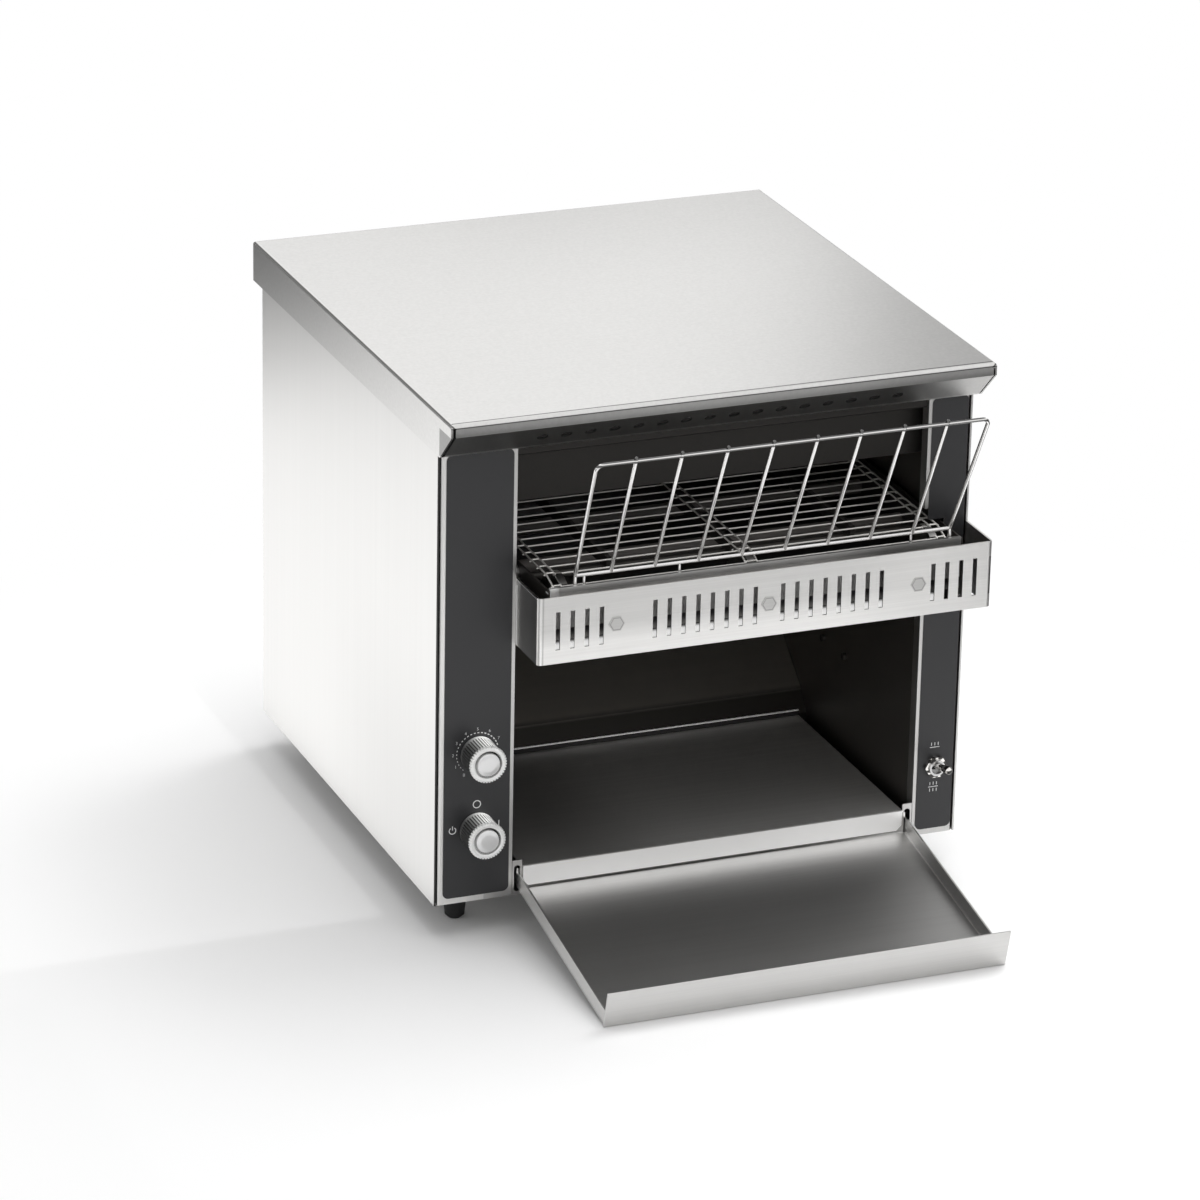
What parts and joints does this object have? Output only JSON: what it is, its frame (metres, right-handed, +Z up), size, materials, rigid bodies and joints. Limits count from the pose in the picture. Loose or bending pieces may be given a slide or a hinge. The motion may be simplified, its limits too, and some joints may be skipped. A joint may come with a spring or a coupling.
{
  "type": "conveyor toaster",
  "caption": "Counter-top conveyor toaster: food rides a wire belt between heaters, slides down a rear chute and comes out at the front.",
  "frame": {"origin": "On the counter, in the middle of the part's box in plan: between the cover's back edge and the product tray's lip, and midway between the sides.", "axes": "X to the user's right, Y from the user towards the back, Z up."},
  "size_m": [0.372, 0.5178, 0.3635],
  "materials": {
    "case_steel": "vertical brushed grain, satin",
    "cover_steel": "brushed grain along the length, satin",
    "inner_steel": "plain mill finish, slightly heat-tinted",
    "pan_steel": "brushed grain, satin",
    "dark_steel": "heat-darkened, matt",
    "fastener_steel": "plain bright",
    "bronze": "sintered, matt",
    "shaft_steel": "turned",
    "cast_metal": "cast, matt",
    "belt_wire": "drawn stainless wire",
    "heater_sheath": "smooth dull sheath",
    "ceramic": "white fired clay, matt",
    "rack_chrome": "bright plated wire",
    "knob_silver": "satin plated",
    "knob_cap": "spun satin",
    "charcoal_face": "fine satin film with pale print",
    "black_rubber": "matt",
    "black_plastic": "moulded, matt",
    "switch_metal": "plain bright",
    "toggle_chrome": "polished",
    "board_green": "lacquered"
  },
  "bodies": {
    "case": {"base_pan": "case_steel", "left_side_panel": "case_steel", "right_side_panel": "case_steel", "rear_panel": "case_steel", "top_cover": "cover_steel", "rubber_feet": "black_rubber", "left_front_column": "case_steel", "right_front_column": "case_steel", "left_control_face": "charcoal_face", "right_control_face": "charcoal_face", "left_inner_wall": "inner_steel", "right_inner_wall": "inner_steel", "wall_screws": "fastener_steel", "pan_ledge": "inner_steel", "rear_chute": "inner_steel", "bumper_guard": "case_steel", "guard_studs": "fastener_steel", "nose_channel": "inner_steel", "left_conveyor_plate": "dark_steel", "right_conveyor_plate": "dark_steel", "belt_heat_shield": "dark_steel", "lower_reflector": "dark_steel", "belt_support_rails": "dark_steel", "conveyor_spacers": "fastener_steel", "shaft_bushes": "bronze", "gearbox": "cast_metal", "drive_motor": "cast_metal", "motor_standoffs": "fastener_steel", "conveyor_belt": "belt_wire", "upper_heater_housing": "dark_steel", "upper_reflector": "inner_steel", "heater_rods": "heater_sheath", "heater_end_caps": "ceramic", "speed_potentiometer": "black_plastic", "power_switch": "black_plastic", "toggle_switch": "switch_metal", "toggle_nut": "toggle_chrome", "fan_frame": "black_plastic", "fan_guard": "toggle_chrome", "cord_gland": "black_plastic", "control_board": "board_green", "rear_panel_screws": "fastener_steel"},
    "belt_drive": {"drive_shaft": "shaft_steel", "drive_sprockets": "shaft_steel", "shaft_coupling": "shaft_steel", "gearbox_output_shaft": "shaft_steel"},
    "belt_idler": {"idler_shaft": "shaft_steel", "idler_sprockets": "shaft_steel"},
    "cooling_fan": {"fan_rotor": "black_plastic"},
    "speed_control": {"speed_knob": "knob_silver", "speed_knob_cap": "knob_cap", "speed_spindle": "shaft_steel"},
    "power_control": {"power_knob": "knob_silver", "power_knob_cap": "knob_cap", "power_spindle": "shaft_steel"},
    "heat_toggle": {"heat_toggle_lever": "toggle_chrome"},
    "loading_guide": {"loading_rack": "rack_chrome"},
    "crumb_drawer": {"crumb_pan": "pan_steel"},
    "outfeed_tray": {"product_tray": "pan_steel"}
  },
  "joints": [
    {"name": "belt_drive_spin", "type": "hinge", "parent": "case", "child": "belt_drive", "pos_m": [0.0224, 0.1735, 0.22705], "axis": [1, 0, 0], "continuous": true, "deforming": ["conveyor_belt"]},
    {"name": "belt_idler_spin", "type": "hinge", "parent": "case", "child": "belt_idler", "pos_m": [0.0224, -0.1059, 0.22705], "axis": [1, 0, 0], "continuous": true},
    {"name": "fan_spin", "type": "hinge", "parent": "case", "child": "cooling_fan", "pos_m": [-0.06, 0.2316, 0.082], "axis": [0, 1, 0], "continuous": true},
    {"name": "speed_knob_turn", "type": "hinge", "parent": "case", "child": "speed_control", "pos_m": [-0.1555, -0.0984, 0.1283], "axis": [0, 1, 0], "range_deg": [0, 270]},
    {"name": "power_knob_turn", "type": "hinge", "parent": "case", "child": "power_control", "pos_m": [-0.1555, -0.0984, 0.0752], "axis": [0, 1, 0], "range_deg": [-90, 90]},
    {"name": "heat_toggle_flip", "type": "hinge", "parent": "case", "child": "heat_toggle", "pos_m": [0.1678, -0.0954, 0.0738], "axis": [1, 0, 0], "range_deg": [0, 24]},
    {"name": "loading_rack_lift", "type": "slide", "parent": "case", "child": "loading_guide", "axis": [0, 0, 1], "range_m": [0, 0.05]},
    {"name": "crumb_pan_slide", "type": "slide", "parent": "case", "child": "crumb_drawer", "axis": [0, -1, 0], "range_m": [0, 0.15]},
    {"name": "product_tray_tilt", "type": "hinge", "parent": "case", "child": "outfeed_tray", "pos_m": [0.01135, -0.0978, 0.0275], "axis": [-1, 0, 0], "range_deg": [0, 10]}
  ],
  "couplings": [
    {"joint": "belt_idler_spin", "follows": "belt_drive_spin", "ratio": 1}
  ]
}
